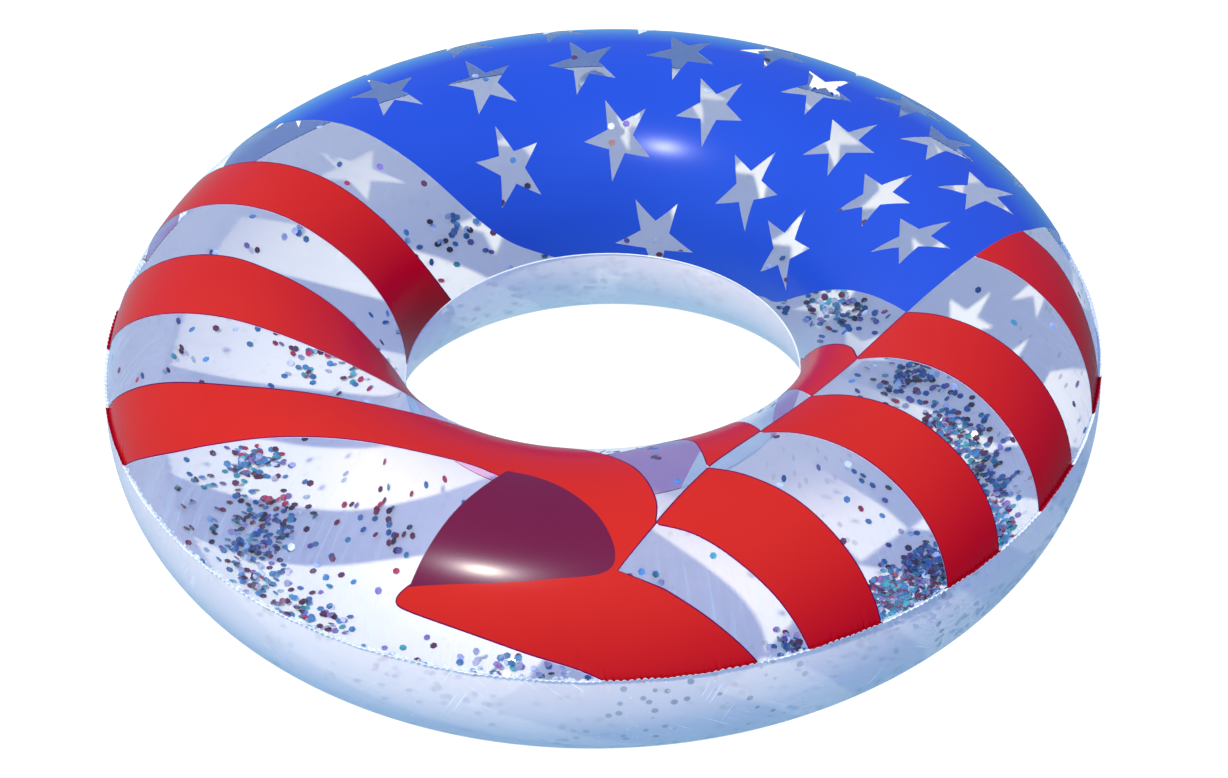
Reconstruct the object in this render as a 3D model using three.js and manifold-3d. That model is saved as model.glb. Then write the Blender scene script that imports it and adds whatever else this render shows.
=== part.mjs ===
// Inflatable swim ring: two welded vinyl panels with a welded seam round the outside and one round
// the hole, a push-in inflation valve, and loose hexagonal glitter flakes inside the air chamber.
//
// Millimetres, +Z up. The ring lies flat on z = 0 and the origin is on the floor at its centre.
// The valve is at the back, at +Y, on the bottom panel just below the outer seam.
import * as THREE from 'three';
import { mergeVertices } from 'three/addons/utils/BufferGeometryUtils.js';
import Module from 'manifold-3d';

const wasm = await Module();
wasm.setup();

// Inflated tube: a slightly flattened round section swept round the ring.
const CENTRE_RADIUS = 244;
const TUBE_HALF_WIDTH = 105;
const TUBE_HALF_HEIGHT = 98;
const FLOOR_FLATTENING = 0.7;
const FILM = 0.3;
const GAP = 0.3;
const SEGMENTS = 72;
const TUBE_HEIGHT = TUBE_HALF_HEIGHT - FLOOR_FLATTENING;

// Seams. The section angle is 0 at the outer side, pi / 2 at the top and pi at the hole.
const OUTER_SEAM_ANGLE = 0.165;
const OUTER_SEAM_WIDTH = 5;
const INNER_SEAM_WIDTH = 3;
const SEAM_THICKNESS = 2 * FILM;
const PANEL_STEPS = 13;

// Valve, along +Y from the flat seat that its stiff flange makes in the bottom panel.
const SEAT_ANGLE = 0.125;
const RIM_OUTER = 8.3;
const WELL_INNER = 7.7;
const WELL_OUTER = 8.5;
const WELL_DEPTH = 14;
const FLANGE_RADIUS = 11.5;
const FLANGE_THICKNESS = 1;
const RIM_HEIGHT = 0.4;
const LIP_INNER = 5.4;
const STEM_OUTER = 5;
const STEM_BORE = 3.5;
const STEM_LENGTH = 26;
const STOP_RADIUS = 6.6;
const STOP_THICKNESS = 1.2;
const COLLAR_RADIUS = 9;
const COLLAR_THICKNESS = 1;
const LUG_REACH = 11.5;
const LUG_WIDTH = 5;
const HEAD_RADIUS = 5.6;
const HEAD_THICKNESS = 1.6;
const SHANK_TOP_RADIUS = 3.1;
const SHANK_TIP_RADIUS = 2.1;
const SHANK_LENGTH = 4.5;
const TAB_REACH = 10;
const TAB_WIDTH = 5;
const TAB_THICKNESS = 1;
const TETHER_HINGE = 10;
const TETHER_WIDTH = 4;
const TETHER_THICKNESS = 0.8;
const FLAP_RADIUS = 4.6;
const FLAP_HINGE = 6;
const FLAP_WIDTH = 4;
const FLAP_THICKNESS = 0.4;
const ROUND_SIDES = 24;

// Glitter flakes that lie loose in the bottom of the air chamber.
const FLAKE_COUNT = 40;
const FLAKE_RADIUS = 2.7;
const FLAKE_THICKNESS = 0.25;
const FLAKE_LIFT = 1.6;
const GOLDEN_ANGLE = Math.PI * (3 - Math.sqrt(5));

const seatY = (CENTRE_RADIUS + TUBE_HALF_WIDTH * Math.cos(SEAT_ANGLE)) * Math.cos(Math.PI / SEGMENTS);
const collarFoot = RIM_HEIGHT + GAP;
const collarTop = collarFoot + COLLAR_THICKNESS;
const headFoot = collarTop + GAP;

const group = new THREE.Group();

function addPart(name, geometry, material, parent = group) {
  const mesh = new THREE.Mesh(geometry, material);
  mesh.name = name;
  parent.add(mesh);
  return mesh;
}

function plastic(color, roughness, opacity = 1) {
  return new THREE.MeshStandardMaterial({
    color, roughness, metalness: 0, opacity, transparent: opacity < 1,
  });
}

function toSolid(geometry) {
  const bare = geometry.clone();
  bare.deleteAttribute('normal');
  bare.deleteAttribute('uv');
  const merged = mergeVertices(bare, 1e-4);
  const vertProperties = new Float32Array(merged.attributes.position.array);
  const triVerts = new Uint32Array(merged.index.array);
  return new wasm.Manifold(new wasm.Mesh({ numProp: 3, vertProperties, triVerts }));
}

function toGeometry(solid) {
  const mesh = solid.getMesh();
  const geometry = new THREE.BufferGeometry();
  geometry.setAttribute('position', new THREE.BufferAttribute(mesh.vertProperties, 3));
  geometry.setIndex(new THREE.BufferAttribute(mesh.triVerts, 1));
  geometry.computeVertexNormals();
  return geometry;
}

// Point of the tube's section at an angle, moved along the section's outward normal.
function sectionPoint(angle, offset) {
  const normal = new THREE.Vector2(
    Math.cos(angle) / TUBE_HALF_WIDTH,
    Math.sin(angle) / TUBE_HALF_HEIGHT,
  ).normalize();
  const radius = CENTRE_RADIUS + TUBE_HALF_WIDTH * Math.cos(angle) + normal.x * offset;
  const height = TUBE_HEIGHT + TUBE_HALF_HEIGHT * Math.sin(angle) + normal.y * offset;
  return new THREE.Vector2(radius, height);
}

// Solid of revolution about the ring's upright axis; the flats face the four axes.
function ringGeometry(profile) {
  const closed = [...profile, profile[0]];
  const geometry = new THREE.LatheGeometry(closed, SEGMENTS, Math.PI / SEGMENTS, 2 * Math.PI);
  return geometry.rotateX(Math.PI / 2);
}

// Film through section angles in rising order, flattened where it rests on the floor.
function filmProfile(angles) {
  const outside = angles.map((angle) => sectionPoint(angle, 0));
  const inside = angles.map((angle) => sectionPoint(angle, -FILM));
  outside.forEach((point) => { point.y = Math.max(point.y, 0); });
  inside.forEach((point) => { point.y = Math.max(point.y, FILM); });
  return [...outside, ...inside.reverse()];
}

function spread(from, to, steps) {
  return Array.from({ length: steps + 1 }, (_, i) => from + ((to - from) * i) / steps);
}

// Angle that keeps a panel's edge clear of the welded flange it meets.
const edgeAngle = (SEAM_THICKNESS / 2 + GAP) / TUBE_HALF_HEIGHT;

function topPanel() {
  const angles = spread(OUTER_SEAM_ANGLE + edgeAngle, Math.PI - edgeAngle, PANEL_STEPS);
  return ringGeometry(filmProfile(angles));
}

function bottomPanel() {
  const contactAngle = Math.asin(TUBE_HEIGHT / TUBE_HALF_HEIGHT);
  const angles = [
    ...spread(edgeAngle - Math.PI, contactAngle - Math.PI, 6),
    ...spread(-contactAngle, -2 * SEAT_ANGLE, 5),
    -SEAT_ANGLE,
    SEAT_ANGLE,
    OUTER_SEAM_ANGLE - edgeAngle,
  ];
  const panel = toSolid(ringGeometry(filmProfile(angles)));
  const drill = new THREE.CylinderGeometry(RIM_OUTER + GAP, RIM_OUTER + GAP, 8, ROUND_SIDES);
  drill.translate(0, seatY, TUBE_HEIGHT);
  return toGeometry(panel.subtract(toSolid(drill)));
}

// Flat welded band of both films, standing out from the tube along the section's normal.
function seamBand(angle, width) {
  const along = sectionPoint(angle, 1).sub(sectionPoint(angle, 0));
  const across = new THREE.Vector2(-along.y, along.x).multiplyScalar(SEAM_THICKNESS / 2);
  const root = sectionPoint(angle, -FILM);
  const edge = sectionPoint(angle, width);
  const profile = [
    root.clone().sub(across),
    edge.clone().sub(across),
    edge.clone().add(across),
    root.clone().add(across),
  ];
  return ringGeometry(profile);
}

function turned(points, sides = ROUND_SIDES) {
  const profile = points.map(([radius, y]) => new THREE.Vector2(radius, y));
  return new THREE.LatheGeometry(profile, sides);
}

function block(width, height, depth, x, y, z) {
  return new THREE.BoxGeometry(width, height, depth).translate(x, y, z);
}

function joined(...geometries) {
  const solids = geometries.map(toSolid);
  return toGeometry(solids.reduce((sum, solid) => sum.add(solid)));
}

// Flange welded inside the film, the rim that fills the film's hole, and the well behind it.
function valveBase() {
  const flangeTop = -FILM - GAP;
  return turned([
    [WELL_INNER, RIM_HEIGHT],
    [WELL_INNER, 1 - WELL_DEPTH],
    [LIP_INNER, 1 - WELL_DEPTH],
    [LIP_INNER, -WELL_DEPTH],
    [WELL_OUTER, -WELL_DEPTH],
    [WELL_OUTER, flangeTop - FLANGE_THICKNESS],
    [FLANGE_RADIUS, flangeTop - FLANGE_THICKNESS],
    [FLANGE_RADIUS, flangeTop],
    [RIM_OUTER, flangeTop],
    [RIM_OUTER, RIM_HEIGHT],
    [WELL_INNER, RIM_HEIGHT],
  ]);
}

// Soft tube with a collar that stops on the rim and an inner flange that stops on the well's lip.
function valveStem() {
  const foot = -STEM_LENGTH;
  const tube = turned([
    [STEM_BORE, foot],
    [STOP_RADIUS, foot],
    [STOP_RADIUS, foot + STOP_THICKNESS],
    [STEM_OUTER, foot + STOP_THICKNESS],
    [STEM_OUTER, collarFoot],
    [COLLAR_RADIUS, collarFoot],
    [COLLAR_RADIUS, collarTop],
    [STEM_BORE, collarTop],
    [STEM_BORE, foot],
  ]);
  const lugStart = STEM_OUTER + 1;
  const lugLength = LUG_REACH - lugStart;
  const lug = block(LUG_WIDTH, COLLAR_THICKNESS, lugLength,
    0, collarFoot + COLLAR_THICKNESS / 2, -lugStart - lugLength / 2);
  return joined(tube, lug);
}

function valvePlug() {
  const body = turned([
    [0, headFoot - SHANK_LENGTH],
    [SHANK_TIP_RADIUS, headFoot - SHANK_LENGTH],
    [SHANK_TOP_RADIUS, headFoot],
    [HEAD_RADIUS, headFoot],
    [HEAD_RADIUS, headFoot + HEAD_THICKNESS],
    [0, headFoot + HEAD_THICKNESS],
  ]);
  const tabStart = HEAD_RADIUS - 1;
  const tab = block(TAB_WIDTH, TAB_THICKNESS, TAB_REACH - tabStart,
    0, headFoot + HEAD_THICKNESS - TAB_THICKNESS / 2, (TAB_REACH + tabStart) / 2);
  return joined(body, tab);
}

// Flat strap with a round root that turns on its own hinge line.
function hingedStrap(width, thickness, from, hinge, y) {
  const root = new THREE.CylinderGeometry(thickness / 2, thickness / 2, width, 12);
  root.rotateZ(Math.PI / 2).translate(0, y, hinge);
  const strap = block(width, thickness, Math.abs(hinge - from), 0, y, (from + hinge) / 2);
  return [root, strap];
}

function plugTether() {
  const middle = headFoot + TETHER_THICKNESS / 2;
  const start = -HEAD_RADIUS - GAP;
  return joined(...hingedStrap(TETHER_WIDTH, TETHER_THICKNESS, start, -TETHER_HINGE, middle));
}

function checkFlap() {
  const middle = -STEM_LENGTH - GAP - FLAP_THICKNESS / 2;
  const disc = new THREE.CylinderGeometry(FLAP_RADIUS, FLAP_RADIUS, FLAP_THICKNESS, ROUND_SIDES);
  disc.translate(0, middle, 0);
  return joined(disc, ...hingedStrap(FLAP_WIDTH, FLAP_THICKNESS, -FLAP_RADIUS + 1, -FLAP_HINGE, middle));
}

// Flakes follow a golden-angle spiral round the ring, flat on the inside of the bottom panel.
function placeFlake(mesh, index) {
  const around = index * GOLDEN_ANGLE;
  const spreadPhase = ((index * 7) % FLAKE_COUNT) / FLAKE_COUNT;
  const angle = -Math.PI / 2 + (spreadPhase - 0.5) * 1.9;
  const spot = sectionPoint(angle, -FLAKE_LIFT);
  const normal = sectionPoint(angle, 1).sub(sectionPoint(angle, 0));
  const outward = new THREE.Vector3(Math.cos(around), Math.sin(around), 0);
  const height = Math.max(spot.y, FLAKE_LIFT);
  mesh.position.copy(outward).multiplyScalar(spot.x).setZ(height);
  const facing = outward.clone().multiplyScalar(normal.x).setZ(normal.y).normalize();
  mesh.quaternion.setFromUnitVectors(new THREE.Vector3(0, 1, 0), facing);
  mesh.rotateY(index);
}

const clearVinyl = plastic(0xc4cdea, 0.12, 0.35);
const milkyVinyl = plastic(0xdfe3f4, 0.25, 0.9);
const weld = plastic(0xcfe2f2, 0.3);
const valvePlastic = plastic(0xe6ecf2, 0.35);
const flakeMaterials = [
  ['blue', 0x2f6f9f],
  ['violet', 0x6a5a9c],
  ['crimson', 0xa01840],
  ['maroon', 0x3b1830],
  ['aqua', 0x49c4c8],
  ['silver', 0xa7b3cc],
].map(([name, color]) => [name, new THREE.MeshStandardMaterial({ color, roughness: 0.25, metalness: 0.6 })]);

addPart('top_panel', topPanel(), clearVinyl);
addPart('bottom_panel', bottomPanel(), milkyVinyl);
addPart('outer_seam', seamBand(OUTER_SEAM_ANGLE, OUTER_SEAM_WIDTH), weld);
addPart('inner_seam', seamBand(Math.PI, INNER_SEAM_WIDTH), weld);

const valve = new THREE.Group();
valve.position.set(0, seatY, TUBE_HEIGHT);
group.add(valve);
addPart('valve_base', valveBase(), valvePlastic, valve);
addPart('valve_stem', valveStem(), valvePlastic, valve);
addPart('check_flap', checkFlap(), valvePlastic, valve);
addPart('valve_plug', valvePlug(), valvePlastic, valve);
addPart('plug_tether', plugTether(), valvePlastic, valve);

for (let index = 0; index < FLAKE_COUNT; index += 1) {
  const [colour, material] = flakeMaterials[index % flakeMaterials.length];
  const number = String(index + 1).padStart(2, '0');
  const flake = new THREE.CylinderGeometry(FLAKE_RADIUS, FLAKE_RADIUS, FLAKE_THICKNESS, 6);
  placeFlake(addPart(`glitter_${colour}_${number}`, flake, material), index);
}

export default group;
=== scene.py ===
"""Looks of the inflatable swim ring: printed clear top, milky underside, gathered seams and glitter."""
import math

import bmesh
import bpy
import numpy as np
from mathutils import Matrix, Vector
from mathutils.geometry import delaunay_2d_cdt


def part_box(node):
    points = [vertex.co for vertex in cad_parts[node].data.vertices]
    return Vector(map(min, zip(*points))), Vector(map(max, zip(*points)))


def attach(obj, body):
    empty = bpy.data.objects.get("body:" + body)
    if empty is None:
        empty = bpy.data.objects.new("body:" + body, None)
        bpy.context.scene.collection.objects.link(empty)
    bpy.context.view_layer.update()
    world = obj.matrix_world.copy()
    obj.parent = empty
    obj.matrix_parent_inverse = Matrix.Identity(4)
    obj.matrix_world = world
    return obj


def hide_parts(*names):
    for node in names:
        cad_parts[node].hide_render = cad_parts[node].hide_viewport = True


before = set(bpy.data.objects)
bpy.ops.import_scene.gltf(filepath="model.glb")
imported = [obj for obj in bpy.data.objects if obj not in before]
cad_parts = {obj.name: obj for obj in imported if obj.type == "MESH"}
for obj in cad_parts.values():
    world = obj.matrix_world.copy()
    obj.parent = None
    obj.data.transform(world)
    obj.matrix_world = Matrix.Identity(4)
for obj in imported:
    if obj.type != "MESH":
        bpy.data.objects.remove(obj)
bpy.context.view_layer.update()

MM = 0.001

# Inflated tube, with the CAD model's driving dimensions.
CENTRE_RADIUS = 244 * MM
HALF_WIDTH = 105 * MM
HALF_HEIGHT = 98 * MM
MID_HEIGHT = 97.3 * MM
FILM = 0.3 * MM

# Seams. The section angle is 0 at the outer side, pi / 2 at the top and pi at the hole.
SEAM_ANGLE = 0.165
OUTER_FLANGE = 2.3 * MM
INNER_FLANGE = 0.8 * MM
OUTER_CURL = 2.4 * MM
INNER_CURL = 0.2 * MM
FLANGE_THICKNESS = 0.6 * MM
EDGE_GAP = 0.4 * MM
PLEATS = 490
LONG_PLEATS = 70
STEPS_PER_PLEAT = 6
GRID_STEP = 5 * MM
OUTLINE_STEP = 2.5 * MM

# Valve, from the CAD nodes: a flat seat in the bottom panel, facing +Y.
VALVE_HOLE = 8.6 * MM
SEAT_FLAT = 12.5 * MM
SEAT_BLEND = 24 * MM
VALVE_MID = (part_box("valve_base")[0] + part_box("valve_base")[1]) / 2
RIM_HEIGHT = 0.4
SEAT_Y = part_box("valve_base")[1].y - RIM_HEIGHT * MM
VALVE_SIDES = 72
EDGE_ROUND = 0.3

# The valve's pieces, in millimetres: radius and height above the seat, as in the CAD.
WELL_INNER = 7.7
WELL_OUTER = 8.5
WELL_FOOT = -14
WELL_LIP = 5.4
RIM_OUTER = 8.3
FLANGE_RADIUS = 11.5
FLANGE_FOOT = -1.6
FLANGE_TOP = -0.6
STEM_BORE = 3.5
STEM_OUTER = 5
STEM_FOOT = -26
STOP_RADIUS = 6.6
STOP_TOP = -24.8
COLLAR_RADIUS = 9
COLLAR_FOOT = 0.7
COLLAR_TOP = 1.7
LUG_WIDTH = 5
LUG_REACH = 11.5
HEAD_RADIUS = 5.6
HEAD_FOOT = 2.0
HEAD_TOP = 3.6
SHANK_ROOT = 3.1
SHANK_TIP = 2.1
SHANK_LENGTH = 4.5
TAB_WIDTH = 5
TAB_REACH = 10
TETHER_WIDTH = 4
TETHER_THICKNESS = 0.8
TETHER_HINGE = 10
FLAP_RADIUS = 4.6
FLAP_MID = -26.5
FLAP_HALF = 0.2
FLAP_WIDTH = 4
FLAP_HINGE = 6

# Camera and sun.
CAMERA_DISTANCE = 19 * CENTRE_RADIUS
CAMERA_ELEVATION = math.radians(38.35)
CAMERA_ROLL = math.radians(-1.76)
CAMERA_LENS = 193.4
CAMERA_SHIFT = (0.0091, -0.0127)
SUN_FROM = (-0.334, -0.372, 0.866)
SUN_ENERGY = 4.2
SUN_COLOUR = (1, 0.855, 0.5)
SKY_FAR = (0.14, 0.25, 0.82, 1)
SKY_NEAR = (0.62, 0.75, 1.32, 1)
BOUNCE_FAR = (0.2, 0.42, 0.55, 1)
BOUNCE_NEAR = (0.7, 1.15, 1.35, 1)

SECTION_ANGLES = np.linspace(0, math.pi, 1441)
WELD_HEIGHT = MID_HEIGHT + HALF_HEIGHT * math.sin(SEAM_ANGLE)


# ---------------------------------------------------------------- surface of the tube

def arc_lengths():
    """Length along the section from the hole, for each angle of SECTION_ANGLES measured from the hole."""
    x = -HALF_WIDTH * np.cos(SECTION_ANGLES)
    y = HALF_HEIGHT * np.sin(SECTION_ANGLES)
    return np.concatenate([[0], np.cumsum(np.hypot(np.diff(x), np.diff(y)))])


ARC = arc_lengths()
HOLE_RADIUS = CENTRE_RADIUS - HALF_WIDTH
SEAM_STEP = HALF_WIDTH * SEAM_ANGLE
TOP_FLAT_RADIUS = HOLE_RADIUS + float(np.interp(math.pi - SEAM_ANGLE, SECTION_ANGLES, ARC))
BOTTOM_FLAT_RADIUS = HOLE_RADIUS + ARC[-1] + SEAM_STEP


def section_angle(flat_radius, side):
    """Section angle of a flat-sheet radius, on the top (side 1) or the bottom (side -1) panel."""
    along = flat_radius - HOLE_RADIUS
    from_hole = np.interp(along, ARC, SECTION_ANGLES) + np.maximum(along - ARC[-1], 0) / HALF_WIDTH
    return side * (math.pi - from_hole)


def section(angle, offset):
    """Radius and height of the tube's section at an angle, moved out along its normal, with the normal."""
    normal_r = np.cos(angle) / HALF_WIDTH
    normal_z = np.sin(angle) / HALF_HEIGHT
    length = np.hypot(normal_r, normal_z)
    normal_r, normal_z = normal_r / length, normal_z / length
    radius = CENTRE_RADIUS + HALF_WIDTH * np.cos(angle) + offset * normal_r
    height = MID_HEIGHT + HALF_HEIGHT * np.sin(angle) + offset * normal_z
    return radius, height, normal_r, normal_z


rng = np.random.default_rng(7)
PLEAT_DEPTH = rng.uniform(0.25, 0.6, PLEATS) * MM
PLEAT_REACH = rng.uniform(1.2, 3, PLEATS) * MM
long_ones = rng.choice(PLEATS, LONG_PLEATS, replace=False)
PLEAT_DEPTH[long_ones] = rng.uniform(0.3, 0.7, LONG_PLEATS) * MM
PLEAT_REACH[long_ones] = rng.uniform(5, 15, LONG_PLEATS) * MM
WANDER = rng.uniform(0, 2 * math.pi, 6)


def pleat_turn(around):
    """Number of pleats passed at an angle round the ring, with uneven spacing."""
    uneven = sum(np.sin(around * (7 * k + 3) + WANDER[k]) / (k + 1.5) for k in range(6))
    return around / (2 * math.pi) * PLEATS + 0.5 * uneven


def gathers(around, from_seam):
    """How far the film dips at the gathers beside the outer seam."""
    turn = pleat_turn(around)
    nearest = np.round(turn).astype(int) % PLEATS
    valley = 1 - np.abs(np.sin(math.pi * turn))
    return -PLEAT_DEPTH[nearest] * valley * np.exp(-from_seam / PLEAT_REACH[nearest])


def film_point(x, y, side, offset):
    """Place on the inflated film of a point (x, y) of the flat sheet."""
    flat_radius = np.hypot(x, y)
    around = np.arctan2(y, x)
    seam_radius = TOP_FLAT_RADIUS if side > 0 else BOTTOM_FLAT_RADIUS
    from_seam = np.maximum(seam_radius - flat_radius, 0)
    dip = gathers(around, from_seam)
    radius, height, _, _ = section(section_angle(flat_radius, side), offset + dip)
    height = np.maximum(height, FILM + offset)
    place = np.stack([radius * np.cos(around), radius * np.sin(around), height], axis=-1)
    if side < 0:
        away = np.hypot(place[:, 0] - VALVE_MID.x, place[:, 2] - VALVE_MID.z)
        near = np.clip((SEAT_BLEND - away) / (SEAT_BLEND - SEAT_FLAT), 0, 1) * (place[:, 1] > CENTRE_RADIUS)
        near = near * near * (3 - 2 * near)
        place[:, 1] = place[:, 1] * (1 - near) + (SEAT_Y + offset) * near
    return place


def film_normal(x, y, side):
    """Outward normal of the film, by small steps round and along the section."""
    step = 0.25 * MM
    flat_radius = np.hypot(x, y)
    unit_x, unit_y = x / flat_radius, y / flat_radius
    out = film_point(x + unit_x * step, y + unit_y * step, side, 0)
    back = film_point(x - unit_x * step, y - unit_y * step, side, 0)
    left = film_point(x - unit_y * step, y + unit_x * step, side, 0)
    right = film_point(x + unit_y * step, y - unit_x * step, side, 0)
    normal = np.cross(out - back, left - right) * side
    return normal / np.linalg.norm(normal, axis=1, keepdims=True)


# ---------------------------------------------------------------- printed artwork, in centre radii

def smooth(points, closed=False):
    """Curve through a few points (Catmull-Rom), sampled at the outline's step."""
    p = np.array(points, float)
    if closed:
        p = np.vstack([p[-1], p, p[0], p[1]])
    else:
        p = np.vstack([2 * p[0] - p[1], p, 2 * p[-1] - p[-2]])
    curve = []
    for a, b, c, d in zip(p, p[1:], p[2:], p[3:]):
        count = max(1, int(np.linalg.norm(c - b) * CENTRE_RADIUS / OUTLINE_STEP))
        for t in np.arange(count) / count:
            curve.append(0.5 * (2 * b + (c - a) * t + (2 * a - 5 * b + 4 * c - d) * t ** 2
                                + (3 * b - a - 3 * c + d) * t ** 3))
    return curve if closed else curve + [p[-2]]


def shape(*runs):
    """Closed outline of smooth runs that meet at corners."""
    outline = []
    for run in runs:
        outline += smooth(run) if len(run) > 1 else [np.array(run[0], float)]
    return np.array(outline)


def band(upper, lower):
    """Stripe between two edges that both start at the same end."""
    return shape(upper, lower[::-1])


def star(x, y):
    """Five-pointed star with one point to the left, turned a little with its place in the field."""
    turn = math.radians(184 - 6 * x)
    corners = []
    for k in range(10):
        reach = STAR_RADIUS if k % 2 == 0 else STAR_RADIUS * 0.385
        corners.append((x + reach * math.cos(turn + k * math.pi / 5),
                        y + reach * math.sin(turn + k * math.pi / 5)))
    return np.array(corners)


STAR_RADIUS = 0.133
STARS = [
    (-1.05, 1.26), (-0.78, 1.36), (-0.472, 1.378), (-0.128, 1.455), (0.20, 1.51), (0.55, 1.54),
    (-0.74, 1.046), (-0.403, 1.102), (-0.033, 1.199), (0.324, 1.23), (0.651, 1.25), (0.97, 1.26),
    (-0.319, 0.817), (0.089, 0.924), (0.434, 0.97), (0.804, 0.982), (1.115, 0.935), (1.36, 0.98),
    (0.184, 0.612), (0.561, 0.658), (0.893, 0.684), (1.204, 0.663), (1.50, 0.66),
    (0.663, 0.39), (1.008, 0.383), (1.322, 0.37), (1.118, 0.102), (0.86, 1.50),
]

CANTON = shape(
    [(-1.62, 1.17), (-1.30, 1.03), (-1.06, 0.93), (-0.89, 0.855), (-0.71, 0.75), (-0.51, 0.656),
     (-0.33, 0.60), (-0.166, 0.566), (0.0, 0.52)],
    [(0.2, 0.44), (0.454, 0.344), (0.536, 0.281), (0.663, 0.204), (0.79, 0.10), (0.89, -0.01),
     (0.97, -0.13), (1.03, -0.24), (1.072, -0.324)],
    [(1.17, -0.19), (1.29, -0.02), (1.40, 0.14), (1.48, 0.24), (1.56, 0.357), (1.70, 0.56),
     (1.90, 0.84)],
    [(1.7, 1.8)],
    [(0, 2.5)],
    [(-1.8, 1.9)],
)
LEFT_STRIPES = [
    band([(-1.75, 0.97), (-1.5, 0.84), (-1.255, 0.707), (-1.0, 0.574), (-0.82, 0.472),
          (-0.66, 0.408), (-0.454, 0.367), (-0.35, 0.35)],
         [(-1.85, 0.74), (-1.42, 0.505), (-1.15, 0.357), (-0.97, 0.242), (-0.79, 0.148),
          (-0.61, 0.084), (-0.45, 0.06)]),
    band([(-1.95, 0.43), (-1.58, 0.255), (-1.30, 0.115), (-1.15, 0.013), (-0.97, -0.10),
          (-0.84, -0.19), (-0.70, -0.26), (-0.55, -0.31), (-0.42, -0.33)],
         [(-2.0, 0.26), (-1.68, 0.04), (-1.43, -0.13), (-1.28, -0.23), (-1.12, -0.34),
          (-0.97, -0.43), (-0.80, -0.51), (-0.6, -0.56), (-0.4, -0.56), (-0.25, -0.45)]),
]
RIGHT_STRIPES = [
    band([(1.442, 0.199), (1.556, 0.128), (1.66, 0.0), (1.76, -0.166), (1.86, -0.34)],
         [(1.289, -0.018), (1.403, -0.071), (1.556, -0.179), (1.684, -0.306), (1.761, -0.434),
          (1.84, -0.59)]),
    band([(1.072, -0.324), (1.174, -0.365), (1.327, -0.447), (1.48, -0.556), (1.607, -0.663),
          (1.697, -0.765), (1.82, -0.93)],
         [(0.893, -0.554), (1.021, -0.587), (1.174, -0.663), (1.327, -0.778), (1.454, -0.893),
          (1.562, -1.003), (1.68, -1.14)]),
    band([(0.727, -0.757), (0.842, -0.786), (0.995, -0.855), (1.148, -0.957), (1.276, -1.072),
          (1.391, -1.212), (1.50, -1.37)],
         [(0.536, -0.963), (0.663, -0.982), (0.817, -1.046), (0.97, -1.148), (1.097, -1.263),
          (1.204, -1.403), (1.30, -1.56)]),
    band([(0.344, -1.152), (0.459, -1.179), (0.612, -1.25), (0.765, -1.365), (0.868, -1.467),
          (0.944, -1.562), (1.03, -1.70)],
         [(0.158, -1.363), (0.281, -1.391), (0.408, -1.454), (0.561, -1.556), (0.689, -1.679),
          (0.80, -1.81)]),
]
INNER_STRIPES = [
    shape([(0.44, -0.16), (0.566, 0.013), (0.663, -0.10), (0.79, -0.28), (0.88, -0.434), (0.898, -0.55)],
          [(0.727, -0.753)],
          [(0.69, -0.62), (0.62, -0.47), (0.54, -0.36), (0.44, -0.30)]),
    shape([(0.344, -1.143), (0.33, -1.05), (0.30, -0.95), (0.20, -0.86), (0.02, -0.80), (-0.18, -0.74),
           (-0.34, -0.64), (-0.40, -0.45)],
          [(0.17, -0.50), (0.29, -0.61), (0.40, -0.72), (0.48, -0.83), (0.536, -0.955)]),
]
FOLD = shape(
    [(-2.1, -0.03), (-1.85, -0.19), (-1.53, -0.395), (-1.225, -0.587), (-0.95, -0.70),
     (-0.77, -0.75), (-0.60, -0.775), (-0.42, -0.79), (-0.25, -0.85), (-0.13, -0.93),
     (-0.026, -1.02), (0.10, -1.148), (0.158, -1.276), (0.155, -1.363)],
    [(0.026, -1.503)],
    [(0.179, -1.556), (0.332, -1.633), (0.485, -1.727), (0.62, -1.84)],
    [(0.15, -1.90), (-0.077, -1.785), (-0.281, -1.71), (-0.485, -1.62), (-0.655, -1.535),
     (-0.70, -1.497), (-0.66, -1.468), (-0.58, -1.45)],
    [(-0.35, -1.16), (-0.46, -1.09), (-0.64, -1.01), (-0.84, -0.93), (-1.07, -0.855),
     (-1.3, -0.78), (-1.5, -0.69), (-1.80, -0.50), (-2.1, -0.30)],
)
FOLD_INSIDE = shape(
    [(-0.651, -1.467), (-0.587, -1.378), (-0.485, -1.263), (-0.332, -1.135)],
    [(-0.332, -1.135), (-0.23, -1.174), (-0.128, -1.238), (-0.026, -1.34), (0.022, -1.45),
     (-0.02, -1.508), (-0.2, -1.515), (-0.383, -1.505), (-0.651, -1.467)],
)

# The inks don't quite meet: a dark line runs round every red, and a pale one along its lower edges.
DARK_LINE = 0.0042
PALE_SHIFT = np.array((-0.0014, -0.0052))

CLEAR, RED, BLUE, MAROON, DARK_EDGE, PALE_EDGE, WARM_BACK, COOL_BACK, CLEAR_BACK = range(9)

# What each ink looks like from inside the ring, in the order above: clear, or a pale backing.
BACK_OF = (CLEAR_BACK, WARM_BACK, COOL_BACK, WARM_BACK, WARM_BACK, WARM_BACK)


def printed_areas():
    """Outlines with their ink, in the order they are laid: a later one covers an earlier one."""
    reds = [*LEFT_STRIPES, *RIGHT_STRIPES, *INNER_STRIPES, FOLD]
    areas = [(outline + PALE_SHIFT, PALE_EDGE) for outline in reds]
    areas += [(grown(outline, DARK_LINE), DARK_EDGE) for outline in reds]
    areas += [(outline, RED) for outline in reds]
    areas += [(FOLD_INSIDE, MAROON), (CANTON, BLUE)]
    areas += [(star(x, y), CLEAR) for x, y in STARS]
    return [(subdivided(outline * CENTRE_RADIUS), ink) for outline, ink in areas]


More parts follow.
